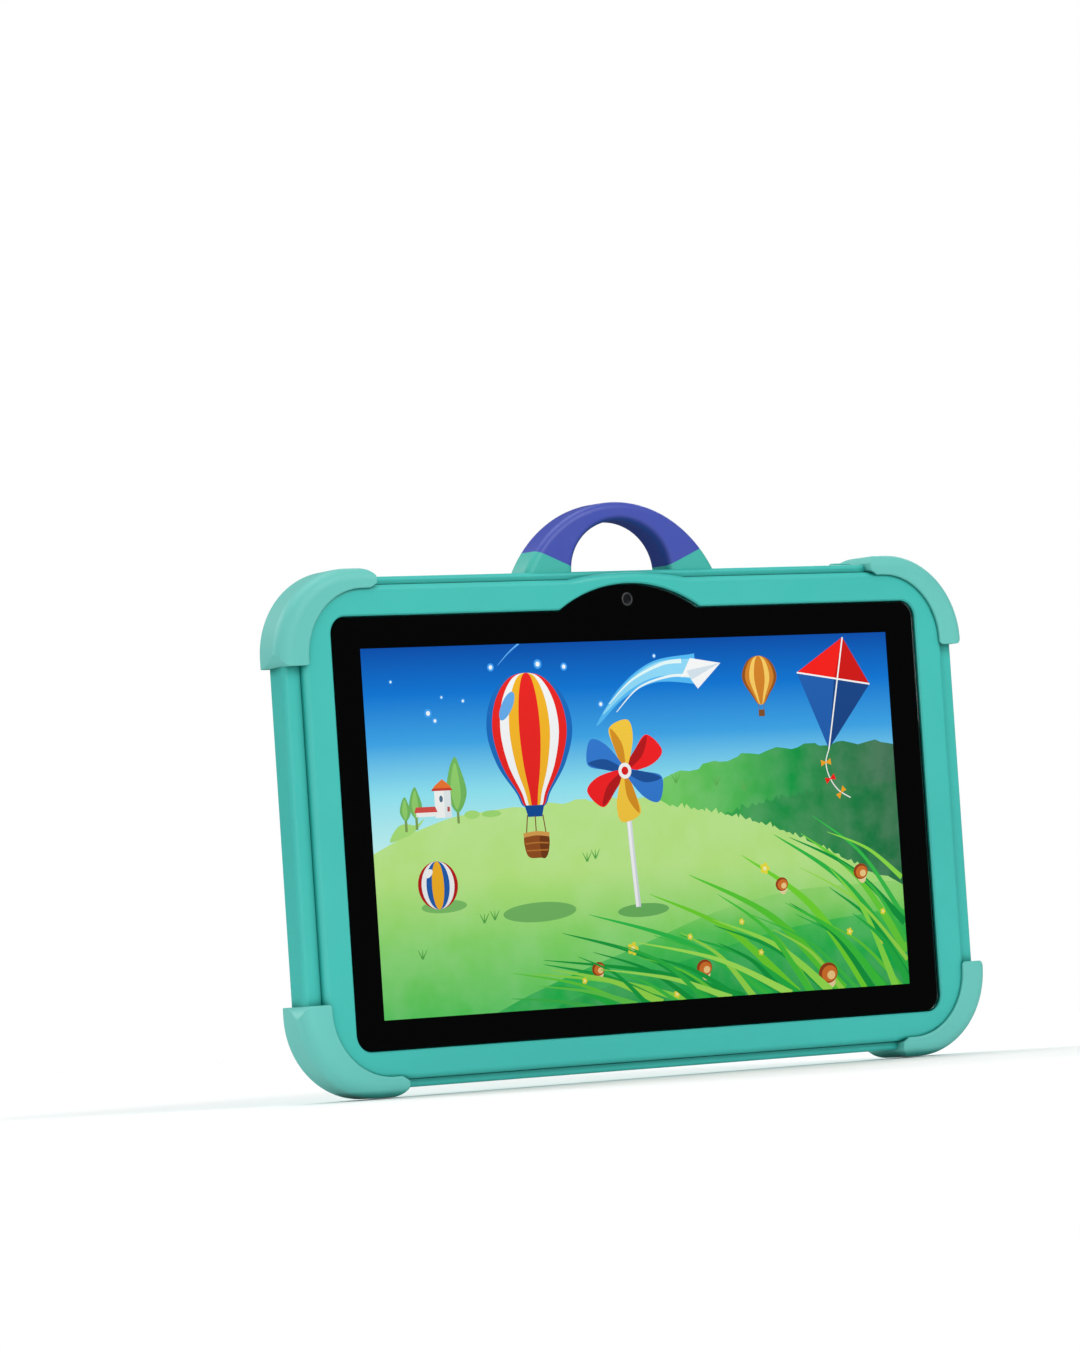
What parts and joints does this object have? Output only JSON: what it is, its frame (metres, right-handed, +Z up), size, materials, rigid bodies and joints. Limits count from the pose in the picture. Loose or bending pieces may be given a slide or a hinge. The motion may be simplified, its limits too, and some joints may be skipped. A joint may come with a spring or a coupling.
{
  "type": "kids tablet with protective case",
  "caption": "Rugged small tablet for children with soft corner bumpers, a carry handle on top, a fold-out kickstand, side keys and rear camera window.",
  "frame": {"origin": "on the surface the tablet stands on, under the middle of the case", "axes": "+X to the right seen from the screen side, +Y out of the back, +Z up"},
  "size_m": [0.2002, 0.0148, 0.1369],
  "materials": {
    "case_teal": "moulded, fine satin",
    "bumper_teal": "soft, satin",
    "handle_teal": "moulded, fine satin",
    "grip_blue": "soft, satin",
    "kickstand_teal": "moulded, fine satin",
    "key_teal": "moulded, smooth",
    "plug_white": "moulded",
    "screw_steel": "plated",
    "plate_steel": "stamped",
    "clear_glass": "clear, polished",
    "ink_black": "printed",
    "adhesive_black": "foam tape",
    "display_dark": "polished",
    "backlight_white": "moulded",
    "flex_amber": "polyimide film",
    "battery_silver": "foil pouch",
    "board_green": "solder mask",
    "component_black": "moulded",
    "window_black": "polished, tinted",
    "flash_yellow": "lens",
    "mesh_black": "woven dust mesh"
  },
  "bodies": {
    "case": {"audio_jack": "component_black", "backlight_unit": "backlight_white", "battery": "battery_silver", "battery_lead": "component_black", "battery_tape": "adhesive_black", "board_screws": "screw_steel", "camera_window": "window_black", "card_socket": "plate_steel", "case_screws": "screw_steel", "corner_bumper_bottom_left": "bumper_teal", "corner_bumper_bottom_right": "bumper_teal", "corner_bumper_top_left": "bumper_teal", "corner_bumper_top_right": "bumper_teal", "cover_glass": "clear_glass", "display_flex": "flex_amber", "flash_led": "flash_yellow", "front_camera": "component_black", "front_frame": "case_teal", "glass_adhesive": "adhesive_black", "handle_core": "handle_teal", "handle_grip": "grip_blue", "handle_screws": "screw_steel", "ink_border": "ink_black", "key_switches": "component_black", "kickstand_pins": "screw_steel", "lcd_panel": "display_dark", "main_board": "board_green", "microphone": "plate_steel", "plate_screws": "screw_steel", "processor": "component_black", "rear_camera_lower": "component_black", "rear_camera_upper": "component_black", "rear_shell": "case_teal", "screw_plugs": "plug_white", "shield_can": "plate_steel", "speaker_left": "component_black", "speaker_meshes": "mesh_black", "speaker_right": "component_black", "support_plate": "plate_steel", "usb_socket": "plate_steel", "wireless_antenna": "flex_amber"},
    "kickstand": {"kickstand_flap": "kickstand_teal"},
    "volume_up": {"volume_up_key": "key_teal"},
    "volume_down": {"volume_down_key": "key_teal"},
    "power": {"power_key": "key_teal"}
  },
  "joints": [
    {"name": "kickstand_hinge", "type": "hinge", "parent": "case", "child": "kickstand", "pos_m": [0, 0.00525, 0.0232], "axis": [-1, 0, 0], "range_deg": [0, 95]},
    {"name": "volume_up_press", "type": "slide", "parent": "case", "child": "volume_up", "axis": [-1, 0, 0], "range_m": [0, 0.0004], "stiffness_N_per_m": 600},
    {"name": "volume_down_press", "type": "slide", "parent": "case", "child": "volume_down", "axis": [-1, 0, 0], "range_m": [0, 0.0004], "stiffness_N_per_m": 600},
    {"name": "power_press", "type": "slide", "parent": "case", "child": "power", "axis": [0, 0, -1], "range_m": [0, 0.0004], "stiffness_N_per_m": 600}
  ]
}
